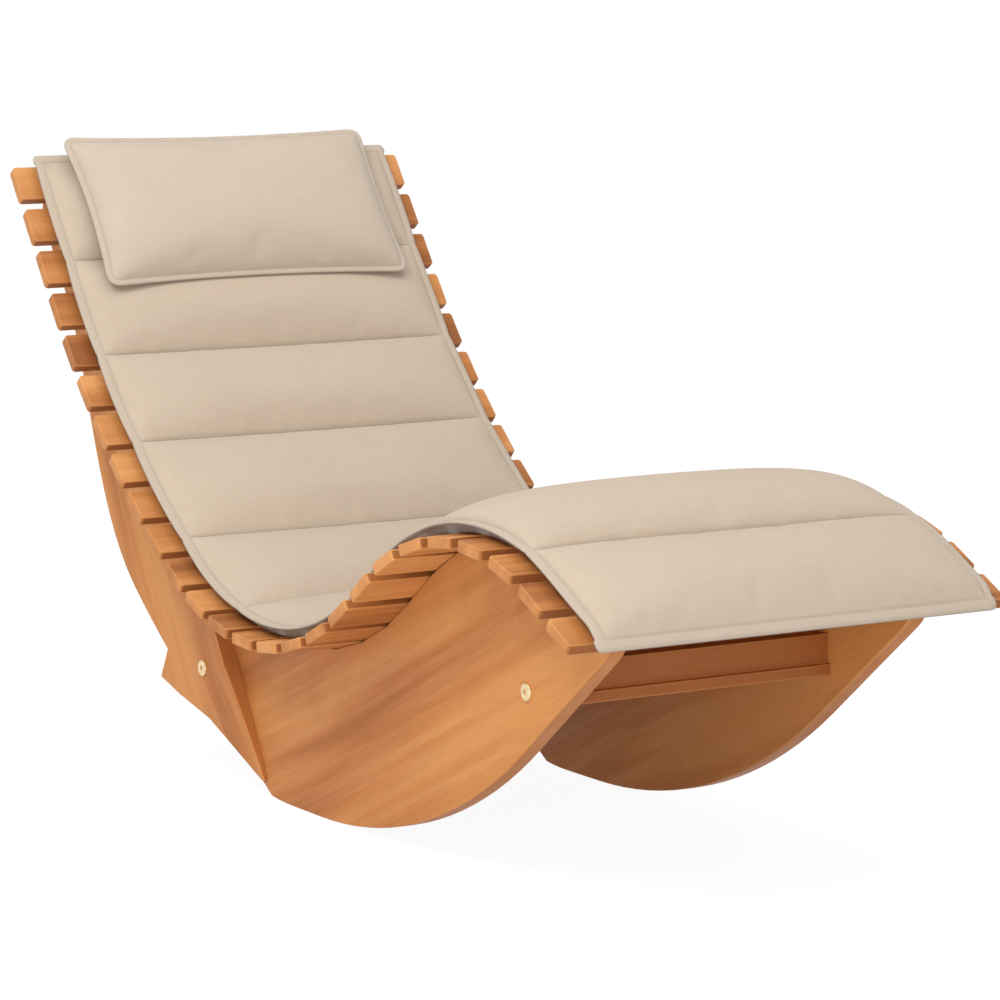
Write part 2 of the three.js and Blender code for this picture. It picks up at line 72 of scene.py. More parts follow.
class Sheet:
    """A node tree that is filled in by short calls."""

    def __init__(self, tree: bpy.types.NodeTree) -> None:
        """Starts on an empty tree."""
        self.tree = tree
        tree.nodes.clear()

    def node(self, kind: str, inputs: dict | None = None, **settings: object) -> bpy.types.Node:
        """Adds a node.

        Args:
            kind: the node's class, without its ShaderNode prefix.
            inputs: values or sockets for its input sockets, by name or index.
            settings: values for the node's own properties.

        Returns:
            The new node.
        """
        made = self.tree.nodes.new(kind if kind.startswith("Node") else "ShaderNode" + kind)
        for name, value in settings.items():
            setattr(made, name, value)
        for name, value in (inputs or {}).items():
            self.feed(made.inputs[name], value)
        return made

    def feed(self, socket: bpy.types.NodeSocket, value: object) -> None:
        """Links a socket to another one, or gives it a plain value.

        Args:
            socket: an input socket.
            value: another node's socket, a number, or a colour's three parts.
        """
        if isinstance(value, bpy.types.NodeSocket):
            self.tree.links.new(value, socket)
        else:
            colour = socket.type == "RGBA"
            socket.default_value = (*value, 1.0) if colour else value

    def mark(self, name: str) -> Socket:
        """Reads one of the numbers that a piece carries as an attribute."""
        return self.node("Attribute", attribute_name=name).outputs["Fac"]

    def math(self, operation: str, a: object, b: object = 0.0, clamp: bool = False) -> Socket:
        """Adds a Math node and returns its result."""
        return self.node("Math", {0: a, 1: b}, operation=operation, use_clamp=clamp).outputs[0]

    def sum_of(self, a: object, a_share: float, b: object, b_share: float) -> Socket:
        """Adds two values, each in its own share."""
        return self.math("ADD", self.math("MULTIPLY", a, a_share), self.math("MULTIPLY", b, b_share))

    def spread(
        self, value: object, low: float, high: float, to_low: float = 0.0, to_high: float = 1.0,
    ) -> Socket:
        """Maps low..high onto to_low..to_high with soft ends, and returns the result."""
        limits = {1: low, 2: high, 3: to_low, 4: to_high}
        return self.node("MapRange", {0: value, **limits}, interpolation_type="SMOOTHSTEP").outputs[0]

    def vector(self, operation: str, inputs: dict) -> Socket:
        """Adds a Vector Math node and returns its result."""
        return self.node("VectorMath", inputs, operation=operation).outputs[0]

    def noise(self, vector: object, scale: Triple, detail: float, roughness: float = 0.5) -> Socket:
        """Adds a noise with its own scale on each axis.

        Args:
            vector: the place that it is read at.
            scale: its scale on each axis.
            detail: how many finer layers it has.
            roughness: how strong the finer layers are.

        Returns:
            The noise's factor.
        """
        stretched = self.vector("MULTIPLY", {0: vector, 1: scale})
        settings = {"Scale": 1.0, "Detail": detail, "Roughness": roughness}
        return self.node("TexNoise", {"Vector": stretched, **settings}).outputs["Fac"]

    def mix(self, factor: object, a: object, b: object, blend: str = "MIX") -> Socket:
        """Mixes two colours and returns the result."""
        made = self.node("Mix", {0: factor, 6: a, 7: b}, data_type="RGBA", blend_type=blend)
        return made.outputs[2]


def shader_group(
    name: str, inputs: dict[str, str], outputs: dict[str, str],
) -> tuple[Sheet, bpy.types.Node, bpy.types.Node]:
    """Starts a shader node group with named sockets.

    Args:
        name: the group's name.
        inputs: socket kind by input name.
        outputs: socket kind by output name.

    Returns:
        The group's sheet, its input node and its output node.
    """
    tree = bpy.data.node_groups.new(name, "ShaderNodeTree")
    for label, kind in inputs.items():
        tree.interface.new_socket(name=label, in_out="INPUT", socket_type="NodeSocket" + kind)
    for label, kind in outputs.items():
        tree.interface.new_socket(name=label, in_out="OUTPUT", socket_type="NodeSocket" + kind)
    sheet = Sheet(tree)
    return sheet, sheet.node("NodeGroupInput"), sheet.node("NodeGroupOutput")


def flowing_grain() -> bpy.types.NodeTree:
    """Wood grain along the first axis of a coordinate in metres.

    Returns:
        A group with soft bands, thin streaks, fine fibres and short open pores.
    """
    sheet, given, out = shader_group(
        "flowing_grain",
        {"Coordinate": "Vector", "Wander": "Float"},
        {"Bands": "Float", "Streaks": "Float", "Fibres": "Float", "Pores": "Float"},
    )
    place = given.outputs["Coordinate"]
    stretched = sheet.vector("MULTIPLY", {0: place, 1: (1.3, 4.0, 4.0)})
    drift = sheet.node("TexNoise", {"Vector": stretched, "Scale": 1.0, "Detail": 2.0})
    centred = sheet.vector("SUBTRACT", {0: drift.outputs["Color"], 1: (0.5, 0.5, 0.5)})
    wander = sheet.vector("SCALE", {0: centred, "Scale": given.outputs["Wander"]})
    bent = sheet.vector("ADD", {0: place, 1: wander})
    bands = sheet.spread(sheet.noise(bent, (1.3, 12.0, 12.0), 2.0, 0.5), 0.28, 0.72)
    streaks = sheet.spread(sheet.noise(bent, (3.0, 70.0, 70.0), 3.0, 0.55), 0.28, 0.75)
    fibres = sheet.noise(bent, (28.0, 1100.0, 1100.0), 2.0, 0.6)
    pores = sheet.spread(sheet.noise(bent, (55.0, 1500.0, 1500.0), 1.0), 0.62, 0.7)
    for label, value in {"Bands": bands, "Streaks": streaks, "Fibres": fibres, "Pores": pores}.items():
        sheet.feed(out.inputs[label], value)
    return sheet.tree


def plain_weave() -> bpy.types.NodeTree:
    """A plain weave of slubby threads on a UV map in metres.

    Returns:
        A group with the height of the threads, the tone of slubs and a soft mottle.
    """
    sheet, given, out = shader_group(
        "slubby_plain_weave",
        {"Coordinate": "Vector", "Pitch": "Float"},
        {"Threads": "Float", "Slubs": "Float", "Mottle": "Float"},
    )
    place = given.outputs["Coordinate"]
    parts = sheet.node("SeparateXYZ", {0: place})
    turns, ridges = [], []
    for axis in (0, 1):
        turn = sheet.math("DIVIDE", parts.outputs[axis], given.outputs["Pitch"])
        turns.append(sheet.math("FLOOR", turn))
        ridges.append(sheet.math("ABSOLUTE", sheet.math("SINE", sheet.math("MULTIPLY", turn, math.pi))))
    parity = sheet.math("ABSOLUTE", sheet.math("MODULO", sheet.math("ADD", *turns), 2.0))
    over = sheet.node("Mix", {0: parity, 2: ridges[0], 3: ridges[1]}, data_type="FLOAT").outputs[0]
    warp = sheet.spread(sheet.noise(place, (22.0, 760.0, 1.0), 3.0, 0.7), 0.3, 0.75)
    weft = sheet.spread(sheet.noise(place, (760.0, 22.0, 1.0), 3.0, 0.7), 0.3, 0.75)
    slubs = sheet.math("MULTIPLY", sheet.math("ADD", warp, weft), 0.5)
    mottle = sheet.noise(place, (9.0, 9.0, 1.0), 3.0)
    for label, value in {"Threads": over, "Slubs": slubs, "Mottle": mottle}.items():
        sheet.feed(out.inputs[label], value)
    return sheet.tree


def stitch_row() -> bpy.types.NodeTree:
    """A row of stitches along a line of the mesh.

    Returns:
        A group that turns nearness to the line and the run along it into a mask of threads.
    """
    sheet, given, out = shader_group(
        "stitch_row", {"Nearness": "Float", "Run": "Float", "Pitch": "Float"}, {"Threads": "Float"},
    )
    turn = sheet.math("DIVIDE", given.outputs["Run"], given.outputs["Pitch"])
    turn = sheet.math("MULTIPLY", turn, 2 * math.pi)
    dash = sheet.spread(sheet.math("SINE", turn), -0.75, -0.25)
    row = sheet.spread(given.outputs["Nearness"], 0.72, 0.86)
    sheet.feed(out.inputs["Threads"], sheet.math("MULTIPLY", dash, row))
    return sheet.tree


class Effects:
    """The shader node groups that several finishes share, each built once."""

    def __init__(self) -> None:
        """Builds the groups."""
        self.grain = flowing_grain()
        self.weave = plain_weave()
        self.stitches = stitch_row()


# Finishes


@dataclass(frozen=True)
class Finish:
    """A named finish that can make its material."""

    name: str
    slot: str

    def material(self, effects: Effects) -> bpy.types.Material:
        """Builds the material.

        Args:
            effects: the shared node groups.

        Returns:
            The new material.
        """
        material = bpy.data.materials.new(self.name)
        material.use_nodes = True
        sheet = Sheet(material.node_tree)
        shader = sheet.node("BsdfPrincipled", self._inputs(sheet, effects))
        sheet.node("OutputMaterial", {"Surface": shader.outputs[0]})
        return material

    def _inputs(self, sheet: Sheet, effects: Effects) -> dict[str, object]:
        """What the Principled shader is fed with.

        Args:
            sheet: the material's nodes.
            effects: the shared node groups.

        Returns:
            A value or a socket for each of its inputs, by name.
        """
        raise NotImplementedError


@dataclass(frozen=True)
class OiledWood(Finish):
    """Warm oiled hardwood, with grain that follows the piece's own grain coordinate."""

    light: Triple
    warm: Triple
    dark: Triple
    wander: float = 0.02
    stops: Triple = (0.08, 0.48, 0.92)
    band_share: float = 0.76
    streak_share: float = 0.24
    pore_share: float = 0.25
    pore_shade: float = 0.6
    # How far the edge mark lightens worn edges and painted end-grain highlight, and how far it paints shade
    # on sawn sides
    wear_and_highlight_share: float = 0.35
    painted_shade_share: float = 0.85

    def _colour(self, sheet: Sheet, value: Socket) -> Socket:
        """Turns a value into the wood's colour.

        Args:
            sheet: the material's nodes.
            value: 0 for dark to 1 for light wood.

        Returns:
            The colour, from dark through warm to light.
        """
        ramp = sheet.node("ValToRGB", {0: value})
        ends = ramp.color_ramp.elements
        ends[0].position, ends[0].color = self.stops[0], (*self.dark, 1.0)
        ends[1].position, ends[1].color = self.stops[2], (*self.light, 1.0)
        middle = ends.new(self.stops[1])
        middle.color = (*self.warm, 1.0)
        return ramp.outputs[0]

    def _inputs(self, sheet: Sheet, effects: Effects) -> dict[str, object]:
        """Bands and streaks under fibres and pores, lighter on worn eased edges and with painted highlight
        on end grain, darker with painted shade on sawn sides.

        Args:
            sheet: the material's nodes.
            effects: the shared node groups.

        Returns:
            A value or a socket for each of the Principled shader's inputs, by name.
        """
        place = sheet.node("Attribute", attribute_name="grain").outputs["Vector"]
        given = {"Coordinate": place, "Wander": self.wander}
        grain = sheet.node("Group", given, node_tree=effects.grain).outputs
        tone, edge = sheet.mark("tone"), sheet.mark("edge")
        blend = sheet.sum_of(grain["Bands"], self.band_share, grain["Streaks"], self.streak_share)
        plain = self._colour(sheet, sheet.math("ADD", blend, tone, clamp=True))
        fibres = sheet.spread(grain["Fibres"], 0.3, 0.7, 0.95, 1.03)
        shaded = sheet.mix(1.0, plain, fibres, "MULTIPLY")
        pore = tuple(channel * self.pore_shade for channel in self.dark)
        pored = sheet.mix(sheet.math("MULTIPLY", grain["Pores"], self.pore_share), shaded, pore)
        # Edge mark above 0: worn eased edges and painted highlight on end grain; below 0: painted shade on
        # sawn sides and rims
        wear_and_highlight = sheet.math("MULTIPLY", edge, self.wear_and_highlight_share, clamp=True)
        worn_and_highlighted = sheet.mix(wear_and_highlight, pored, self.light)
        painted_shade = sheet.math("MULTIPLY", edge, -self.painted_shade_share, clamp=True)
        with_painted_shade = sheet.mix(painted_shade, worn_and_highlighted, self.dark)
        relief = sheet.math("SUBTRACT", sheet.math("MULTIPLY", grain["Fibres"], 0.4), grain["Pores"])
        bump = sheet.node("Bump", {"Strength": 0.25, "Distance": 0.0004, "Height": relief})
        return {
            "Base Color": with_painted_shade, "Roughness": sheet.spread(grain["Streaks"], 0.0, 1.0, 0.6, 0.46),
            "Normal": bump.outputs[0], "Specular IOR Level": 0.28,
        }


@dataclass(frozen=True)
class LinenCloth(Finish):
    """Thick slubby cloth woven from oatmeal threads."""

    thread: Triple
    shade: Triple
    # The underside colour is painted shade for the underside and the side band below the welt
    underside: Triple
    edging: Triple = (0.5, 0.43, 0.355)
    pitch: float = 0.0011
    stitch: float = 0.0042
    slub_share: float = 0.6
    mottle_share: float = 0.4
    edging_share: float = 0.3
    crease_shadow_share: float = 0.6
    crease_shadow_tone: float = 0.42
    stitch_share: float = 0.22

    def _inputs(self, sheet: Sheet, effects: Effects) -> dict[str, object]:
        """Woven threads with painted shade on the underside, bound edges, painted shadow in the creases, and
        stitches.

        Args:
            sheet: the material's nodes.
            effects: the shared node groups.

        Returns:
            A value or a socket for each of the Principled shader's inputs, by name.
        """
        place = sheet.node("UVMap", uv_map="cloth").outputs["UV"]
        given = {"Coordinate": place, "Pitch": self.pitch}
        weave = sheet.node("Group", given, node_tree=effects.weave).outputs
        tone = sheet.sum_of(weave["Slubs"], self.slub_share, weave["Mottle"], self.mottle_share)
        cloth = sheet.mix(sheet.spread(tone, 0.15, 0.85), self.shade, self.thread)
        gaps = sheet.spread(weave["Threads"], 0.0, 0.6, 0.86, 1.02)
        woven = sheet.mix(1.0, cloth, gaps, "MULTIPLY")
        # Painted shade: the underside and the side band below the welt take the darker underside colour
        with_underside_shade = sheet.mix(sheet.mark("under"), woven, self.underside)
        welt = sheet.math("MULTIPLY", sheet.mark("welt"), self.edging_share)
        bound = sheet.mix(welt, with_underside_shade, self.edging)
        # Painted shadow darkens the cloth in the seams' creases, less at the welt
        crease = sheet.math("MULTIPLY", sheet.mark("crease"), self.crease_shadow_share)
        with_crease_shadow = sheet.mix(crease, bound, tuple(channel * self.crease_shadow_tone for channel in self.shade))
        row = {"Nearness": sheet.mark("stitch"), "Run": sheet.mark("run"), "Pitch": self.stitch}
        threads = sheet.node("Group", row, node_tree=effects.stitches).outputs["Threads"]
        sewn = sheet.mix(sheet.math("MULTIPLY", threads, self.stitch_share), with_crease_shadow, self.thread)
        relief = sheet.math("ADD", weave["Threads"], sheet.math("MULTIPLY", weave["Slubs"], 0.5))
        raised = sheet.math("ADD", relief, sheet.math("MULTIPLY", threads, 1.2))
        bump = sheet.node("Bump", {"Strength": 0.3, "Distance": 0.0004, "Height": raised})
        return {
            "Base Color": sewn, "Roughness": sheet.spread(weave["Slubs"], 0.0, 1.0, 0.95, 0.82),
            "Normal": bump.outputs[0], "Sheen Weight": 0.12, "Sheen Roughness": 0.5,
            "Specular IOR Level": 0.2,
        }


@dataclass(frozen=True)
class PaleBrass(Finish):
    """Brushed pale brass with light wear."""

    colour: Triple
    worn: Triple

    def _inputs(self, sheet: Sheet, effects: Effects) -> dict[str, object]:
        """Cloudy metal with brush marks.

        Args:
            sheet: the material's nodes.
            effects: the shared node groups, of which it needs none.

        Returns:
            A value or a socket for each of the Principled shader's inputs, by name.
        """
        place = sheet.node("TexCoord").outputs["Object"]
        cloudy = sheet.noise(place, (260.0, 260.0, 260.0), 3.0)
        brushed = sheet.noise(place, (4000.0, 300.0, 700.0), 2.0)
        colour = sheet.mix(sheet.spread(cloudy, 0.35, 0.7), self.colour, self.worn)
        bump = sheet.node("Bump", {"Strength": 0.12, "Distance": 0.0001, "Height": brushed})
        return {
            "Base Color": colour, "Metallic": 0.85, "Normal": bump.outputs[0],
            "Roughness": sheet.spread(cloudy, 0.3, 0.7, 0.28, 0.42),
        }


class Finishes(Enum):
    """The finishes of the chaise."""

    SLAT = OiledWood(
        "oiled_slat_wood", "slat_wood", wander=0.012,
        light=(0.7, 0.31, 0.1), warm=(0.53, 0.2, 0.054), dark=(0.3, 0.095, 0.022),
    )
    BOARD = OiledWood(
        "oiled_board_wood", "board_wood", wander=0.03,
        light=(0.66, 0.28, 0.08), warm=(0.54, 0.2, 0.052), dark=(0.36, 0.115, 0.026),
    )
    PAD = LinenCloth(
        "oatmeal_pad_linen", "pad_cloth",
        thread=(0.6, 0.487, 0.375), shade=(0.54, 0.435, 0.33), underside=(0.36, 0.33, 0.295),
    )
    PILLOW = LinenCloth(
        "oatmeal_pillow_linen", "pillow_cloth",
        thread=(0.62, 0.513, 0.405), shade=(0.565, 0.462, 0.36), underside=(0.4, 0.36, 0.31),
    )
    BRASS = PaleBrass("pale_brass", "pale_brass", colour=(0.86, 0.7, 0.42), worn=(0.74, 0.56, 0.3))


class Wardrobe:
    """Makes each finish's material once and puts it on pieces."""

    def __init__(self) -> None:
        """Builds the shared node groups."""
        self.effects = Effects()
        self.made: dict[Finishes, bpy.types.Material] = {}

    def dress(self, piece: bpy.types.Object, finish: Finishes) -> None:
        """Gives a piece its finish.

        Args:
            piece: the finished piece.
            finish: one of the chaise's finishes.
        """
        if finish not in self.made:
            self.made[finish] = finish.value.material(self.effects)
        piece.data.materials.clear()
        piece.data.materials.append(self.made[finish])


# Shared mesh work


def finish_mesh(bm: bmesh.types.BMesh, name: str) -> bpy.types.Object:
    """Turns a bmesh into a smooth object in the scene, at its origin.

    Args:
        bm: the shape in the frame of the chaise, which is freed.
        name: the piece's name.

    Returns:
        The new object.
    """
    mesh = bpy.data.meshes.new(name)
    bm.to_mesh(mesh)
    bm.free()
    mesh.shade_smooth()
    piece = bpy.data.objects.new(name, mesh)
    bpy.context.scene.collection.objects.link(piece)
    return piece


def face_marks(piece: bpy.types.Object, layer: str, faces: list[float]) -> None:
    """Writes one number a face, which the finish reads."""
    piece.data.attributes.new(layer, "FLOAT", "FACE").data.foreach_set("value", faces)


@dataclass(frozen=True)
class GrainFrame:
    """Where a board was cut from its plank: the direction of its grain, and a place in the plank."""

    along: Vector
    across: Vector
    offset: Vector
    tone: float = 0.0

    def mark(self, piece: bpy.types.Object) -> None:
        """Writes the grain coordinate and the tone of a piece.

        Args:
            piece: a wooden piece.
        """
        mesh = piece.data
        depth = self.along.cross(self.across)
        turn = np.array([self.along, self.across, depth], float)
        points = np.empty(len(mesh.vertices) * 3)
        mesh.vertices.foreach_get("co", points)
        marks = points.reshape(-1, 3) @ turn.T + np.array(self.offset)
        mesh.attributes.new("grain", "FLOAT_VECTOR", "POINT").data.foreach_set("vector", marks.ravel())
        tones = [self.tone] * len(mesh.vertices)
        mesh.attributes.new("tone", "FLOAT", "POINT").data.foreach_set("value", tones)


def round_edges(
    bm: bmesh.types.BMesh, edges: list[bmesh.types.BMEdge], radius: float, segments: int,
) -> set[bmesh.types.BMFace]:
    """Rounds edges.

    Args:
        bm: the mesh that they are in.
        edges: the edges.
        radius: how far the rounding reaches.
        segments: how many faces it has across.

    Returns:
        The new faces.
    """
    made = bmesh.ops.bevel(
        bm, geom=edges, offset=radius, offset_type="OFFSET", segments=segments, profile=0.5,
        affect="EDGES", material=-1, clamp_overlap=False,
    )
    return set(made["faces"])


def weigh_normals(piece: bpy.types.Object) -> None:
    """Keeps flat faces flat between their rounded edges.

    Args:
        piece: a piece with eased edges.
    """
    weighted = piece.modifiers.new("flat_faces", "WEIGHTED_NORMAL")
    weighted.weight = 80
    weighted.keep_sharp = True


# The seat line, read from the slats


@dataclass(frozen=True)
class Station:
    """A place on the seat line: the middle of a slat's underside, and the seat's heading there."""

    point: Vector
    heading: Vector

    @property
    def up(self) -> Vector:
        """The direction out of the seat."""
        return Vector((-self.heading.z, 0.0, self.heading.x))


class SeatLine:
    """The curve that the slats lie on, seen from the side."""

    pitch = 67.2 * MM
    thickness = 14 * MM

    def __init__(self, count: int = 26) -> None:
        """Reads each slat's middle and heading from its solid.

        Args:
            count: how many slats there are.
        """
        self.stations: list[Station] = []
        for number in range(1, count + 1):
            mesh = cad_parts[f"slat_{number:02d}"].data
            points = np.empty(len(mesh.vertices) * 3)
            mesh.vertices.foreach_get("co", points)
            flat = np.unique(points.reshape(-1, 3).round(6), axis=0)[:, [0, 2]]
            middle = (flat.min(0) + flat.max(0)) / 2
            spread = np.cov((flat - flat.mean(0)).T)
            axis = np.linalg.eigh(spread)[1][:, 1]
            axis = axis if axis[0] > 0 else -axis
            heading = Vector((axis[0], 0.0, axis[1])).normalized()
            centre = Vector((middle[0], 0.0, middle[1]))
            up = Vector((-heading.z, 0.0, heading.x))
            self.stations.append(Station(centre - up * (self.thickness / 2), heading))

    def at(self, distance: float) -> Station:
        """The place at a distance from the middle of the head slat.

        Args:
            distance: how far along the seat, also past either end, where the seat runs straight on.

        Returns:
            The place on a smooth curve through the slats.
        """
        last = len(self.stations) - 1
        share = distance / self.pitch
        if share <= 0 or share >= last:
            end = self.stations[0 if share <= 0 else last]
            past = distance if share <= 0 else distance - last * self.pitch
            return Station(end.point + end.heading * past, end.heading)
        index = int(share)
        t = share - index
        a, b = self.stations[index], self.stations[index + 1]
        point = (
            a.point * (2 * t**3 - 3 * t**2 + 1) + b.point * (3 * t**2 - 2 * t**3)
            + a.heading * (self.pitch * (t**3 - 2 * t**2 + t)) + b.heading * (self.pitch * (t**3 - t**2))
        )
        slope = (
            (a.point - b.point) * (6 * t**2 - 6 * t)
            + a.heading * (self.pitch * (3 * t**2 - 4 * t + 1))
            + b.heading * (self.pitch * (3 * t**2 - 2 * t))
        )
        return Station(point, slope.normalized())

    def place(self, distance: float, across: float, rise: float) -> Vector:
        """A point of the seat.

        Args:
            distance: how far along the seat, from the middle of the head slat.
            across: how far across it, from its middle.
            rise: how far above the slats' underside.

        Returns:
            The point in the frame of the chaise.
        """
        station = self.at(distance)
        point = station.point + station.up * rise
        return Vector((point.x, across, point.z))


# Wooden pieces


@dataclass
class SlatRow:
    """The seat's slats, one piece each, with rounded corners and eased edges."""

    line: SeatLine
    length: float = 600 * MM
    width: float = 52 * MM
    corner: float = 5 * MM
    edge: float = 1.8 * MM
    rim_angle: ClassVar[float] = 1.0
    tones: tuple[float, ...] = (
        0.24, -0.2, -0.12, 0.05, -0.16, 0.14, 0.02, 0.1, -0.1, 0.06, -0.02, 0.12, -0.06,
        0.1, 0.16, 0.04, 0.18, 0.08, -0.04, 0.1, 0.0, 0.12, -0.06, 0.08, -0.02, 0.1,
    )

    def _slat(self) -> tuple[bmesh.types.BMesh, list[float]]:
        """Shapes one slat.

        Returns:
            The slat in its own frame, X across its width, and the wear and painted light of each face.
        """
        bm = bmesh.new()
        bmesh.ops.create_cube(bm, size=1.0)
        bmesh.ops.scale(bm, vec=(self.width, self.length, self.line.thickness), verts=bm.verts)
        bmesh.ops.translate(bm, vec=(0, 0, self.line.thickness / 2), verts=bm.verts)
        upright = [e for e in bm.edges if abs(e.verts[0].co.z - e.verts[1].co.z) > self.line.thickness / 2]
        round_edges(bm, upright, self.corner, segments=6)
        level = [e for e in bm.edges if abs(e.verts[0].co.z - e.verts[1].co.z) < TOUCHING]
        rims = [e for e in level if e.calc_face_angle(0) > self.rim_angle]
        eased = round_edges(bm, rims, self.edge, segments=3)
        bm.normal_update()
        return bm, [self._wear_and_painted_light(face, face in eased) for face in bm.faces]

    @staticmethod
    def _wear_and_painted_light(face: bmesh.types.BMFace, eased: bool) -> float:
        """How light a face is.

        Args:
            face: a face of the slat.
            eased: whether it belongs to an eased edge.

        Returns:
            1 for eased edges, which are worn, and for end grain, as painted highlight; -1 for the sawn
            sides, as painted shade; else 0.
        """
        # Eased edges are lighter with wear, end grain gets painted highlight and the sawn sides painted
        # shade
        if eased or abs(face.normal.y) > FACING:
            return 1.0
        return -1.0 if abs(face.normal.x) > FACING else 0.0

    def build(self, wardrobe: Wardrobe) -> None:
        """Builds every slat where the seat line carries it.

        Args:
            wardrobe: what gives them their finish.
        """
        draw = random.Random(7)
        for index, station in enumerate(self.line.stations):
            name = f"slat_{index + 1:02d}"
            bm, marks = self._slat()
            side = Vector((0.0, 1.0, 0.0))
            turn = Matrix((station.heading, side, station.up)).transposed().to_4x4()
            bmesh.ops.transform(bm, matrix=Matrix.Translation(station.point) @ turn, verts=bm.verts)
            bmesh.ops.recalc_face_normals(bm, faces=bm.faces)
            piece = finish_mesh(bm, f"{name}_wood")
            face_marks(piece, "edge", marks)
            offset = Vector([draw.uniform(0, 9) for _ in range(3)])
            GrainFrame(side, station.heading, offset, self.tones[index]).mark(piece)
            weigh_normals(piece)
            wardrobe.dress(piece, Finishes.SLAT)
            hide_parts(name)
            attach(piece, BODY)
        LOG.info("slats: %d", len(self.line.stations))


class Cut(Enum):
    """How a profiled board is finished along its length."""

    PLAIN = "plain"
    PLANED_TIP = "planed tip"


@dataclass
class ProfiledBoard:
    """A board with the outline of its solid, and rounded edges."""

    node: str
    grain_angle: float
    offset: Vector
    edge: float = 1.6 * MM
    tone: float = 0.0
    cut: Cut = Cut.PLAIN
    section_share: float = 0.5
    grain_across: bool = False
    section_step: ClassVar[float] = 1e-4
    cut_distance: ClassVar[float] = 1e-7
    hole_width: ClassVar[float] = 12 * MM
    planed_facing: ClassVar[tuple[float, float]] = (0.95, 0.995)
    sharp_angle: ClassVar[float] = 0.6
    rim_facing: ClassVar[float] = 0.5
    # How far a profile's sawn rim is darkened as painted shade
    rim_painted_shade: ClassVar[float] = -0.7

    def _outline(self) -> bmesh.types.BMesh:
        """The solid's outline as one face.

        Returns:
            The face, cut at a share of the thickness from the side next to the seat's middle.
        """
        bm = bmesh.new()
        bm.from_mesh(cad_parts[self.node].data)
        bmesh.ops.remove_doubles(bm, verts=bm.verts, dist=TOUCHING)
        low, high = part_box(self.node)
        inner, outer = sorted((low.y, high.y), key=abs)
        cut = Vector((0, inner + (outer - inner) * self.section_share + self.section_step, 0))
        bmesh.ops.bisect_plane(
            bm, geom=[*bm.verts, *bm.edges, *bm.faces], dist=self.cut_distance, plane_co=cut,
            plane_no=(0, 1, 0), clear_inner=True, clear_outer=True,
        )
        self._drop_bolt_holes(bm)
        bmesh.ops.dissolve_degenerate(bm, edges=bm.edges, dist=NEARLY_TOUCHING)
        bmesh.ops.contextual_create(bm, geom=list(bm.edges))
        return bm

    def _drop_bolt_holes(self, bm: bmesh.types.BMesh) -> None:
        """Takes out every closed line that is only a bolt's hole, which the bolt's head hides.

        Args:
            bm: the outline's edges.
        """
        left = set(bm.verts)
        while left:
            loop, front = set(), [left.pop()]
            while front:
                vert = front.pop()
                loop.add(vert)
                near = {e.other_vert(vert) for e in vert.link_edges} & left
                left -= near
                front.extend(near)
            xs = [v.co.x for v in loop]
            if max(xs) - min(xs) < self.hole_width:
                bmesh.ops.delete(bm, geom=list(loop), context="VERTS")

    def _planed(self) -> tuple[Vector, Vector]:
        """The plane of the face that is planed down towards the tip, from the solid.

        Returns:
            A point on the plane and its outward normal.
        """
        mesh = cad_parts[self.node].data
        least, most = self.planed_facing
        flats = [p for p in mesh.polygons if least < abs(p.normal.y) < most]
        area = sum(p.area for p in flats)
        normal = sum((p.normal * p.area for p in flats), Vector()) / area
        point = sum((p.center * p.area for p in flats), Vector()) / area
        return point, normal.normalized()

    def _wear_and_painted_light(self, face: bmesh.types.BMFace, eased: bool) -> float:
        """How light a face is.

        Args:
            face: a face of the board.
            eased: whether it belongs to an eased edge.

        Returns:
            1 for eased edges, which are worn; below 0 for a profile's sawn rim, as painted shade; else 0.
        """
        if eased:
            return 1.0
        # Sawn rims are darkened as painted shade
        sawn = abs(face.normal.y) < self.rim_facing and not self.grain_across
        return self.rim_painted_shade if sawn else 0.0

    def _grain(self) -> tuple[Vector, Vector]:
        """How the grain runs.

        Returns:
            The directions along and across it.
        """
        if self.grain_across:
            return Vector((0, 1, 0)), Vector((1, 0, 0))
        angle = math.radians(self.grain_angle)
        along = Vector((math.cos(angle), 0, math.sin(angle)))
        return along, Vector((-along.z, 0, along.x))

    def build(self, wardrobe: Wardrobe) -> None:
        """Builds the board between the faces of its solid.

        Args:
            wardrobe: what gives it its finish.
        """
        low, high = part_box(self.node)
        bm = self._outline()
        bmesh.ops.translate(bm, vec=(0, low.y - bm.verts[:][0].co.y, 0), verts=bm.verts)
        grown = bmesh.ops.extrude_face_region(bm, geom=list(bm.faces))
        fresh = [g for g in grown["geom"] if isinstance(g, bmesh.types.BMVert)]
        bmesh.ops.translate(bm, vec=(0, high.y - low.y, 0), verts=fresh)
        bmesh.ops.recalc_face_normals(bm, faces=bm.faces)
        if self.cut is Cut.PLANED_TIP:
            point, normal = self._planed()
            made = bmesh.ops.bisect_plane(
                bm, geom=[*bm.verts, *bm.edges, *bm.faces], dist=self.cut_distance, plane_co=point,
                plane_no=normal, clear_outer=True,
            )
            rim = [g for g in made["geom_cut"] if isinstance(g, bmesh.types.BMEdge)]
            bmesh.ops.contextual_create(bm, geom=rim)
            bmesh.ops.recalc_face_normals(bm, faces=bm.faces)
        inner = [e for e in bm.edges if len(e.link_faces) == 2]
        sharp = [e for e in inner if e.calc_face_angle(0) > self.sharp_angle]
        eased = round_edges(bm, sharp, self.edge, segments=3)
        bm.normal_update()
        marks = [self._wear_and_painted_light(face, face in eased) for face in bm.faces]
        piece = finish_mesh(bm, f"{self.node}_wood")
        face_marks(piece, "edge", marks)
        GrainFrame(*self._grain(), self.offset, self.tone).mark(piece)
        weigh_normals(piece)
        wardrobe.dress(piece, Finishes.BOARD)
        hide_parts(self.node)
        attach(piece, BODY)
        LOG.info("board: %s", self.node)


# Bolts


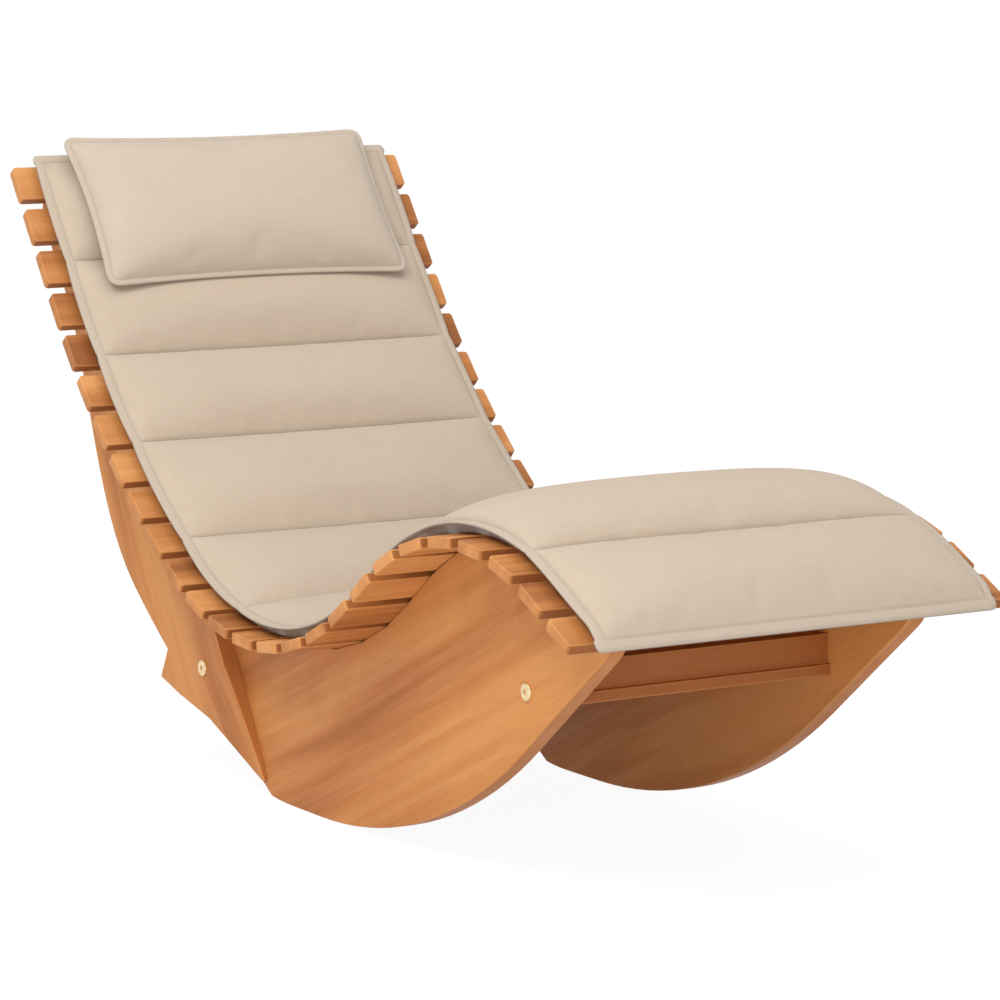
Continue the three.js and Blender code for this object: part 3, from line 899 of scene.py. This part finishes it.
@dataclass
class SocketBolt:
    """A round-edged bolt head with a hex socket, on its shank."""

    node: str
    head_radius: float = 10.5 * MM
    head_height: float = 3.5 * MM
    head_edge: float = 1.3 * MM
    shank_radius: float = 4 * MM
    socket_width: float = 6 * MM
    socket_depth: float = 2.4 * MM
    dome_share: float = 0.62
    dome_rise: float = 0.25 * MM
    crown_share: float = 1.3
    crown_rise: float = 0.3 * MM
    lip_rise: float = 0.1 * MM
    point_depth: float = 0.5 * MM
    smooth_angle: float = 40.0
    steps: int = 48

    def _profile(self, length: float) -> list[tuple[float, float]]:
        """The bolt's outline, from the end of its shank round the head to the socket's bottom.

        Args:
            length: the shank's length.

        Returns:
            Radius and rise of each point, with the face of the head at rise 0.
        """
        apothem = self.socket_width / 2
        rounded = [
            (self.head_radius - self.head_edge * (1 - math.sin(a)), -self.head_edge * (1 - math.cos(a)))
            for a in np.linspace(math.pi / 2, 0, 5)
        ]
        return [
            (0.0, -self.head_height - length), (self.shank_radius, -self.head_height - length),
            (self.shank_radius, -self.head_height), (self.head_radius, -self.head_height), *rounded,
            (self.head_radius * self.dome_share, self.dome_rise),
            (apothem * self.crown_share, self.crown_rise), (apothem, self.lip_rise),
            (apothem, -self.socket_depth), (0.0, -self.socket_depth - self.point_depth),
        ]

    def _make_hex(self, bm: bmesh.types.BMesh) -> None:
        """Moves the socket's round wall out to a hexagon.

        Args:
            bm: the bolt, spun about Y.
        """
        apothem = self.socket_width / 2
        sixth = math.pi / 3
        for vert in bm.verts:
            reach = math.hypot(vert.co.x, vert.co.z)
            if vert.co.y > -self.socket_depth - 0.1 * MM and abs(reach - apothem) < NEARLY_TOUCHING:
                turn = (math.atan2(vert.co.z, vert.co.x) + sixth / 2) % sixth - sixth / 2
                vert.co.x /= math.cos(turn)
                vert.co.z /= math.cos(turn)

    def build(self, wardrobe: Wardrobe) -> None:
        """Turns the bolt about Y where its solid is.

        Args:
            wardrobe: what gives it its finish.
        """
        low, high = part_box(self.node)
        outward = 1.0 if high.y > abs(low.y) else -1.0
        face = high.y if outward > 0 else low.y
        length = (high.y - low.y) - self.head_height
        bm = bmesh.new()
        verts = [bm.verts.new((radius, rise, 0.0)) for radius, rise in self._profile(length)]
        edges = [bm.edges.new(pair) for pair in zip(verts, verts[1:])]
        bmesh.ops.spin(
            bm, geom=[*verts, *edges], cent=(0, 0, 0), axis=(0, 1, 0), angle=2 * math.pi, steps=self.steps,
            use_merge=True,
        )
        bmesh.ops.remove_doubles(bm, verts=bm.verts, dist=TOUCHING)
        self._make_hex(bm)
        bmesh.ops.scale(bm, vec=(1, outward, 1), verts=bm.verts)
        middle = (low + high) / 2
        place = (middle.x, face - outward * self.crown_rise, middle.z)
        bmesh.ops.translate(bm, vec=place, verts=bm.verts)
        bmesh.ops.recalc_face_normals(bm, faces=bm.faces)
        piece = finish_mesh(bm, f"{self.node}_brass")
        for edge in piece.data.edges:
            edge.use_edge_sharp = False
        piece.data.set_sharp_from_angle(angle=math.radians(self.smooth_angle))
        wardrobe.dress(piece, Finishes.BRASS)
        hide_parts(self.node)
        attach(piece, BODY)
        LOG.info("bolt: %s", self.node)


# Padded pieces


@dataclass(frozen=True)
class BlownCloth:
    """How stiff the cloth of a padded piece is, and how hard it is blown up."""

    quality: int = 6
    mass: float = 0.2
    stretch: float = 12.0
    shear: float = 6.0
    bending: float = 3.0
    pressure: float = 4.0
    shrink: float = -0.003
    frames: int = 20

    def add_to(self, cloth: bpy.types.Object, pins: str) -> None:
        """Makes a sheet cloth.

        Args:
            cloth: the sheet.
            pins: the name of the vertex group that holds it.
        """
        modifier = cloth.modifiers.new("cloth", "CLOTH")
        settings = modifier.settings
        settings.quality = self.quality
        settings.mass = self.mass
        settings.tension_stiffness = settings.compression_stiffness = self.stretch
        settings.shear_stiffness = self.shear
        settings.bending_stiffness = self.bending
        settings.use_pressure = True
        settings.uniform_pressure_force = self.pressure
        settings.vertex_group_mass = pins
        settings.shrink_min = self.shrink
        settings.effector_weights.gravity = 0.0
        modifier.collision_settings.use_collision = False


def steps_between(start: float, end: float, size: float) -> list[float]:
    """Even places from start up to, but not with, end."""
    count = max(1, round((end - start) / size))
    return [start + (end - start) * i / count for i in range(count)]


@dataclass
class Padding:
    """A padded piece: a top sheet that its seams hold and air blows up, closed by a flatter underside."""

    line: SeatLine
    name: str
    node: str
    finish: Finishes
    half_width: float
    welt: float
    welt_low: float
    welt_high: float
    fill: float
    corner: float
    draw_in: float
    droop: float
    cell: float
    crowding: tuple[float, ...]
    foot_inset: float
    foot_power: float = 1.0
    settle: float = 0.0
    cloth: BlownCloth = BlownCloth()
    swell_cap: float = 6 * MM
    before_swell: float = 0.94
    droop_power: float = 1.5
    stitch_share: float = 0.72
    # The painted crease shadow at the welt, as a share of a seam's
    welt_crease_shadow: float = 0.45
    marks: ClassVar[tuple[str, ...]] = ("crease", "stitch", "run", "welt", "under")
    rim_step: ClassVar[float] = 0.9 * MM
    rim_width: ClassVar[float] = 0.1 * MM

    def ends(self) -> tuple[float, float]:
        """Where the piece starts and ends along itself."""
        raise NotImplementedError

    def rows(self) -> list[float]:
        """Places of the grid's rows along the piece."""
        raise NotImplementedError

    def top(self, along: float, across: float) -> float:
        """Height of the top sheet before it is blown up."""
        raise NotImplementedError

    def held(self, along: float, across: float) -> bool:
        """Whether stitches hold the top sheet here."""
        raise NotImplementedError

    def place(self, along: float, across: float, rise: float) -> Vector:
        """A point of the piece in the frame of the chaise."""
        raise NotImplementedError

    def plan(self, along: float, across: float) -> tuple[float, float]:
        """Where a grid point lies in plan once the sides are drawn in and the corners rounded."""
        raise NotImplementedError

    def flange(self) -> list[float]:
        """How far in from the outline the welt's own rows lie."""
        return [self.welt * share for share in (0.0, 0.3, self.stitch_share)]

    def crowded(self, half: float) -> list[float]:
        """Places from one side to the other that crowd towards both welts.

        Args:
            half: half the distance between the sides.

        Returns:
            The places, in order.
        """
        inner = half - self.welt
        near = [inner - step * MM for step in self.crowding]
        side = [half - step for step in self.flange()] + [inner, *near]
        middle = steps_between(-near[-1] + self.cell, near[-1], self.cell)
        return [-place for place in side] + middle + side[::-1]

    def edge_distance(self, along: float, across: float) -> float:
        """How far inside the piece's outline a point lies."""
        start, end = self.ends()
        return min(self.half_width - abs(across), along - start, end - along)

    def rim(self, along: float, across: float) -> float:
        """How much the outermost row closes the gap between the welt's two faces."""
        return self.rim_step if self.edge_distance(along, across) < self.rim_width else 0.0

    def rounded(self, along: float, across: float, half: float) -> tuple[float, float]:
        """Draws a point in where it lies in a corner.

        Args:
            along: its place along the piece.
            across: its place across the piece.
            half: half the piece's width there.

        Returns:
            The place along and across.
        """
        start, end = self.ends()
        middle = (start + end) / 2
        over_x = abs(along - middle) - ((end - start) / 2 - self.corner)
        over_y = abs(across) - (half - self.corner)
        if over_x > 0 and over_y > 0:
            reach = max(over_x, over_y) / math.hypot(over_x, over_y)
            along -= math.copysign(over_x * (1 - reach), along - middle)
            across -= math.copysign(over_y * (1 - reach), across)
        return along, across

    def foot(self, along: float, across: float) -> float:
        """Height of the underside, which lies flat and rises to the welt all round.

        Args:
            along: its place along the piece.
            across: its place across the piece.

        Returns:
            The height over the piece's base.
        """
        edge = self.edge_distance(along, across)
        if edge <= self.welt:
            return self.welt_low + self.rim(along, across)
        share = min(1.0, (edge - self.welt) / self.foot_inset)
        return self.welt_low * (1 - share) ** self.foot_power - self.settle * share

    def _sheet(self, bm: bmesh.types.BMesh) -> dict[bmesh.types.BMVert, tuple[float, float]]:
        """Adds a grid of the piece's rows and columns.

        Args:
            bm: what the grid is added to.

        Returns:
            Each vertex's place along and across the piece.
        """
        rows, columns = self.rows(), self.crowded(self.half_width)
        made = bmesh.ops.create_grid(bm, x_segments=len(rows) - 1, y_segments=len(columns) - 1, size=0.5)
        spots = {}
        for vert in made["verts"]:
            i = round((vert.co.x + 0.5) * (len(rows) - 1))
            j = round((vert.co.y + 0.5) * (len(columns) - 1))
            spots[vert] = (rows[i], columns[j])
        return spots

    def _blow_up(self, bm: bmesh.types.BMesh, spots: dict) -> None:
        """Blows the top sheet up as cloth that its stitches hold, and moves its vertices there.

        Args:
            bm: the top sheet.
            spots: each vertex's place along and across the piece.
        """
        mesh = bpy.data.meshes.new(f"{self.name}_sheet")
        bm.to_mesh(mesh)
        cloth = bpy.data.objects.new(f"{self.name}_sheet", mesh)
        scene = bpy.context.scene
        scene.collection.objects.link(cloth)
        pins = cloth.vertex_groups.new(name="stitches")
        pins.add([v.index for v, spot in spots.items() if self.held(*spot)], 1.0, "REPLACE")
        self.cloth.add_to(cloth, pins.name)
        for step in range(1, self.cloth.frames + 1):
            scene.frame_set(step)
        blown = cloth.evaluated_get(bpy.context.evaluated_depsgraph_get()).to_mesh()
        for vert in spots:
            move = blown.vertices[vert.index].co - vert.co
            if move.length > self.swell_cap:
                move.length = self.swell_cap
            vert.co += move
        scene.frame_set(1)
        bpy.data.objects.remove(cloth)

    def _stitched(self, along: float, across: float) -> tuple[float, float]:
        """Where a point lies to the welt's row of stitches.

        Args:
            along: its place along the piece.
            across: its place across the piece.

        Returns:
            1 on the row and 0 elsewhere, and how far along the row it lies.
        """
        edge = self.edge_distance(along, across)
        near = abs(edge - self.welt * self.stitch_share) < NEARLY_TOUCHING
        return float(near), along if self.half_width - abs(across) <= edge + TOUCHING else across

    def _crease_shadow(self, along: float, across: float) -> float:
        """How much painted shadow a crease gets.

        Args:
            along: its place along the piece.
            across: its place across the piece.

        Returns:
            1 at a seam, less at the welt and 0 elsewhere.
        """
        edge = self.edge_distance(along, across)
        if edge < self.welt - NEARLY_TOUCHING or not self.held(along, across):
            return 0.0
        return 1.0 if self.welt < edge - NEARLY_TOUCHING else self.welt_crease_shadow

    def _mark(self, bm: bmesh.types.BMesh, spots: dict, under: set[bmesh.types.BMVert]) -> None:
        """Writes the marks that the cloth finish reads: creases, stitches, welt and underside.

        Args:
            bm: the closed piece.
            spots: each vertex's place along and across the piece.
            under: the vertices of the underside.
        """
        layers = {name: bm.verts.layers.float[name] for name in self.marks}
        for vert, spot in spots.items():
            if vert in under:
                vert[layers["under"]] = 1.0
                continue
            vert[layers["stitch"]], vert[layers["run"]] = self._stitched(*spot)
            vert[layers["welt"]] = float(self.edge_distance(*spot) < self.welt - NEARLY_TOUCHING)
            vert[layers["crease"]] = self._crease_shadow(*spot)

    def build(self, wardrobe: Wardrobe) -> None:
        """Builds, blows up and dresses the piece.

        Args:
            wardrobe: what gives it its finish.
        """
        bm = bmesh.new()
        for name in self.marks:
            bm.verts.layers.float.new(name)
        uv = bm.loops.layers.uv.new("cloth")
        spots = self._sheet(bm)
        for vert, spot in spots.items():
            vert.co = self.place(*self.plan(*spot), self.top(*spot))
        bmesh.ops.recalc_face_normals(bm, faces=bm.faces)
        if bm.faces[len(bm.faces) // 2].normal.z < 0:
            bmesh.ops.reverse_faces(bm, faces=bm.faces)
        bm.verts.index_update()
        self._blow_up(bm, spots)
        under = self._sheet(bm)
        for vert, spot in under.items():
            vert.co = self.place(*self.plan(*spot), self.foot(*spot))
        spots.update(under)
        rims = [e for e in bm.edges if e.is_boundary]
        bmesh.ops.bridge_loops(bm, edges=rims)
        bmesh.ops.recalc_face_normals(bm, faces=bm.faces)
        for face in bm.faces:
            for loop in face.loops:
                loop[uv].uv = spots[loop.vert]
        self._mark(bm, spots, set(under))
        piece = finish_mesh(bm, self.name)
        wardrobe.dress(piece, self.finish)
        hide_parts(self.node)
        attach(piece, BODY)
        LOG.info("padded: %s with %d faces", self.name, len(piece.data.polygons))


@dataclass
class SeatPad(Padding):
    """The quilted pad: channels between sewn seams, and a flat welt all round."""

    name: str = "seat_pad_cloth"
    node: str = "seat_pad"
    finish: Finishes = Finishes.PAD
    half_width: float = 274 * MM
    welt: float = 12 * MM
    welt_low: float = 10 * MM
    welt_high: float = 14 * MM
    fill: float = 0.7
    corner: float = 7 * MM
    draw_in: float = 3 * MM
    droop: float = 14 * MM
    cell: float = 7 * MM
    crowding: tuple[float, ...] = (1.5, 4, 8, 13, 19, 26)
    foot_inset: float = 4.5 * MM
    settle: float = 1.2 * MM
    start: float = -33 * MM
    end: float = 1724 * MM
    base: float = 16.46 * MM
    crowns: tuple[float, ...] = tuple(
        height * MM for height in (33, 36, 36, 36, 36, 36, 38, 44, 47, 42)
    )
    seam: float = 10 * MM
    fill_power: float = 0.44
    droop_length: float = 34 * MM
    seam_shares: tuple[float, ...] = (0.096, 0.184, 0.27, 0.374, 0.476, 0.577, 0.677, 0.774, 0.9)
    seam_crowding: tuple[float, ...] = (1.5, 4, 8, 13)
    open_from: float = 19 * MM
    row_step: float = 6.5 * MM

    def ends(self) -> tuple[float, float]:
        """The pad's two ends."""
        return self.start, self.end

    @property
    def seams(self) -> list[float]:
        """Where the stitched lines lie along the pad.

        Returns:
            Their distances, the welt's two among them.
        """
        span = self.end - self.start
        inner = [self.start + share * span for share in self.seam_shares]
        return [self.start + self.welt, *inner, self.end - self.welt]

    def rows(self) -> list[float]:
        """Places of the grid's rows along the pad.

        Returns:
            Places along the pad that crowd towards the seams.
        """
        near = [step * MM for step in self.seam_crowding]
        places = [self.start + step for step in self.flange()]
        for a, b in zip(self.seams, self.seams[1:]):
            first, last = a + self.open_from, b - self.open_from
            places += [a, *[a + step for step in near], *steps_between(first, last, self.row_step)]
            places += [last, *[b - step for step in reversed(near)]]
        return places + [self.end - self.welt] + [self.end - step for step in reversed(self.flange())]

    def _channel(self, along: float) -> tuple[float, float]:
        """The channel that a place lies in.

        Args:
            along: its place along the pad.

        Returns:
            The channel's crown, and how far its padding fills it there.
        """
        for a, b, crown in zip(self.seams, self.seams[1:], self.crowns):
            if a <= along <= b:
                share = (along - a) / (b - a)
                return crown, max(0.0, math.sin(math.pi * share)) ** self.fill_power
        return self.seam, 0.0

    def _on_welt(self, along: float) -> bool:
        """Whether a place lies on the welt of either end."""
        return not self.seams[0] < along < self.seams[-1]

    def plan(self, along: float, across: float) -> tuple[float, float]:
        """Sides are drawn in at the seams, and the corners are slightly rounded.

        Args:
            along: its place along the piece.
            across: its place across the piece.

        Returns:
            Where it lies in plan.
        """
        puff = self._channel(along)[1]
        width = self.half_width - (0.0 if self._on_welt(along) else self.draw_in * (1 - puff))
        across *= width / self.half_width
        return self.rounded(along, across, width)

    def top(self, along: float, across: float) -> float:
        """A crown in each channel that falls to the seams and the welt.

        Args:
            along: its place along the piece.
            across: its place across the piece.

        Returns:
            The height over the pad's base.
        """
        inner = self.half_width - self.welt
        if abs(across) > inner or self._on_welt(along):
            return self.welt_high - self.rim(along, across)
        share = abs(across) / inner
        fullness = math.sqrt(max(0.0, 1 - share**4))
        crown, puff = self._channel(along)
        seam = self.seam - self.welt_high
        return self.welt_high + fullness * (seam + (crown - self.seam) * puff * self.before_swell)

    def held(self, along: float, across: float) -> bool:
        """Stitches hold the welt and each seam.

        Args:
            along: its place along the piece.
            across: its place across the piece.

        Returns:
            Whether stitches hold the top sheet here.
        """
        inner = self.half_width - self.welt
        near = min(abs(along - seam) for seam in self.seams)
        return abs(across) >= inner - TOUCHING or near < TOUCHING or self._on_welt(along)

    def place(self, along: float, across: float, rise: float) -> Vector:
        """A point of the pad in the frame of the chaise, where the foot end hangs over the last slat."""
        over = max(0.0, 1 - (self.end - along) / self.droop_length)
        return self.line.place(along, across, self.base + rise - self.droop * over**self.droop_power)


@dataclass
class HeadPillow(Padding):
    """The head pillow: a full crown in a narrow welt, with rounded corners."""

    name: str = "head_pillow_cloth"
    node: str = "head_pillow"
    finish: Finishes = Finishes.PILLOW
    half_width: float = 233 * MM
    welt: float = 8 * MM
    welt_low: float = 13 * MM
    welt_high: float = 17 * MM
    fill: float = 0.8
    corner: float = 20 * MM
    draw_in: float = 7 * MM
    droop: float = 6 * MM
    cell: float = 6 * MM
    crowding: tuple[float, ...] = (1.5, 4, 8, 13, 19, 25)
    foot_inset: float = 24 * MM
    foot_power: float = 1.8
    depth: float = 243 * MM
    distance: float = 75 * MM
    lift: float = 43.5 * MM
    shift: float = -4 * MM
    crown: float = 56 * MM

    def ends(self) -> tuple[float, float]:
        """The pillow's two long sides."""
        return -self.depth / 2, self.depth / 2

    def rows(self) -> list[float]:
        """Rows crowd towards the welt."""
        return self.crowded(self.depth / 2)

    def plan(self, along: float, across: float) -> tuple[float, float]:
        """Sides are drawn in between the corners, which are rounded.

        Args:
            along: its place along the piece.
            across: its place across the piece.

        Returns:
            Where it lies in plan.
        """
        x, y = along / (self.depth / 2), across / self.half_width
        along -= math.copysign(self.draw_in * (1 - y * y) * abs(x), x)
        across -= math.copysign(self.draw_in * (1 - x * x) * abs(y), y)
        return self.rounded(along, across, self.half_width)

    def _shares(self, along: float, across: float) -> tuple[float, float]:
        """How far out a point is towards the welt, along and across."""
        return abs(along) / (self.depth / 2 - self.welt), abs(across) / (self.half_width - self.welt)

    def top(self, along: float, across: float) -> float:
        """One full crown.

        Args:
            along: its place along the piece.
            across: its place across the piece.

        Returns:
            The height over the pillow's base.
        """
        a, b = self._shares(along, across)
        if a >= 1 or b >= 1:
            return self.welt_high - self.rim(along, across)
        fullness = max(0.0, 1 - a**3) ** 0.6 * max(0.0, 1 - b**4) ** 0.5
        return self.welt_high + (self.crown - self.welt_high) * fullness * self.before_swell

    def held(self, along: float, across: float) -> bool:
        """Stitches hold the welt."""
        return max(self._shares(along, across)) >= 1 - TOUCHING

    def place(self, along: float, across: float, rise: float) -> Vector:
        """Lays the pillow on the pad, its head side drooping over the end.

        Args:
            along: its place along the piece.
            across: its place across the piece.
            rise: its height over the pillow's base.

        Returns:
            The point in the frame of the chaise.
        """
        station = self.line.at(self.distance)
        over = max(0.0, -along / (self.depth / 2))
        rise += self.lift - self.droop * over**self.droop_power
        point = station.point + station.heading * along + station.up * rise
        return Vector((point.x, across + self.shift, point.z))


# Studio


@dataclass(frozen=True)
class Softbox:
    """A large rectangular lamp that looks at a point."""

    name: str
    place: Triple
    target: Triple
    size: tuple[float, float]
    power: float

    def build(self) -> None:
        """Adds the lamp."""
        data = bpy.data.lights.new(self.name, "AREA")
        data.shape = "RECTANGLE"
        data.size, data.size_y = self.size
        data.energy = self.power
        lamp = bpy.data.objects.new(self.name, data)
        lamp.location = self.place
        lamp.rotation_mode = "QUATERNION"
        aim = Vector(self.target) - Vector(self.place)
        lamp.rotation_quaternion = aim.to_track_quat("-Z", "Y")
        bpy.context.scene.collection.objects.link(lamp)


@dataclass
class Studio:
    """The pale floor, the soft light and the camera."""

    eye: Triple = (4.4703, -2.639, 1.1205)
    azimuth: float = 58.24
    elevation: float = 7.84
    lens: float = 148.6
    shift: tuple[float, float] = (-0.054, -0.0163)
    clip: tuple[float, float] = (0.1, 100.0)
    floor_radius: float = 14.0
    floor_colour: Triple = (0.86, 0.86, 0.86)
    floor_glow: float = 1.1
    glow_share: float = 0.85
    sky: float = 0.55
    lamps: tuple[Softbox, ...] = (
        Softbox("key_softbox", (1.2, -2.7, 3.9), (0.0, 0.0, 0.4), (2.2, 2.0), 100.0),
        Softbox("top_softbox", (0.5, 0.3, 4.0), (0.1, 0.0, 0.3), (2.4, 2.4), 34.0),
        Softbox("low_softbox", (3.4, -1.9, 0.6), (0.4, 0.1, 0.2), (2.2, 1.0), 30.0),
    )

    def build(self) -> None:
        """Builds the studio."""
        self._camera()
        self._floor()
        self._world()
        for lamp in self.lamps:
            lamp.build()
        bpy.context.scene.view_settings.view_transform = "Standard"
        LOG.info("studio ready")

    def _camera(self) -> None:
        """Places the camera at the photograph's angle."""
        data = bpy.data.cameras.new("camera")
        data.sensor_width = 36.0
        data.lens = self.lens
        data.shift_x, data.shift_y = self.shift
        camera = bpy.data.objects.new("camera", data)
        a, e = math.radians(self.azimuth), math.radians(self.elevation)
        forward = Vector((-math.sin(a) * math.cos(e), math.cos(a) * math.cos(e), -math.sin(e)))
        camera.location = self.eye
        camera.rotation_mode = "QUATERNION"
        camera.rotation_quaternion = forward.to_track_quat("-Z", "Y")
        data.clip_start, data.clip_end = self.clip
        bpy.context.scene.collection.objects.link(camera)
        bpy.context.scene.camera = camera

    @staticmethod
    def _seen(sheet: Sheet) -> Socket:
        """A mask of what the camera sees, straight or in a glossy or clear piece.

        Args:
            sheet: the nodes of the floor's material or of the world.

        Returns:
            1 for what the camera sees, else 0.
        """
        path = sheet.node("LightPath")
        seen = sheet.math("MAXIMUM", path.outputs["Is Camera Ray"], path.outputs["Is Glossy Ray"])
        return sheet.math("MAXIMUM", seen, path.outputs["Is Transmission Ray"])

    def _floor(self) -> None:
        """Lays a round pale floor that keeps a soft shadow."""
        bm = bmesh.new()
        bmesh.ops.create_circle(bm, cap_ends=True, segments=64, radius=self.floor_radius)
        floor = finish_mesh(bm, "studio_floor")
        material = bpy.data.materials.new("pale_floor")
        material.use_nodes = True
        sheet = Sheet(material.node_tree)
        matt = sheet.node("BsdfDiffuse", {"Color": self.floor_colour})
        white = sheet.node("Emission", {"Color": WHITE, "Strength": self.floor_glow})
        share = sheet.math("MULTIPLY", self._seen(sheet), self.glow_share)
        both = sheet.node("MixShader", {0: share, 1: matt.outputs[0], 2: white.outputs[0]})
        sheet.node("OutputMaterial", {"Surface": both.outputs[0]})
        floor.data.materials.append(material)

    def _world(self) -> None:
        """Lights the room evenly, and shows white where the camera sees past the floor."""
        world = bpy.data.worlds.new("studio")
        bpy.context.scene.world = world
        world.use_nodes = True
        sheet = Sheet(world.node_tree)
        seen = self._seen(sheet)
        dim = sheet.node("Background", {"Color": WHITE, "Strength": self.sky})
        white = sheet.node("Background", {"Color": WHITE, "Strength": 1.0})
        both = sheet.node("MixShader", {0: seen, 1: dim.outputs[0], 2: white.outputs[0]})
        sheet.node("OutputWorld", {"Surface": both.outputs[0]})


def main() -> None:
    """Builds the chaise and its studio."""
    logging.basicConfig(level=logging.INFO, format="%(name)s: %(message)s")
    Studio().build()
    wardrobe = Wardrobe()
    line = SeatLine()
    SlatRow(line).build(wardrobe)
    # The left board's higher tone is painted light: it lifts the board's inner face, which sits in shade
    # under the seat
    for side, shift, tone in (("right", 0.0, 0.16), ("left", 3.7, 0.3)):
        ProfiledBoard(f"rocker_board_{side}", 24.0, Vector((shift, shift, shift)), tone=tone).build(wardrobe)
        ProfiledBoard(
            f"back_rail_{side}", -58.0, Vector((shift + 5, shift, 1.0)), edge=1.1 * MM, tone=0.12,
            cut=Cut.PLANED_TIP, section_share=0.1,
        ).build(wardrobe)
        for end in ("rear", "front"):
            SocketBolt(f"bolt_{end}_{side}").build(wardrobe)
    for end, shift in (("rear", 2.0), ("front", 6.0)):
        ProfiledBoard(
            f"cross_beam_{end}", 0.0, Vector((shift, 0.3, 0.8)), tone=-0.6, grain_across=True,
        ).build(wardrobe)
    SeatPad(line).build(wardrobe)
    HeadPillow(line).build(wardrobe)


if __name__ == "__main__":
    main()
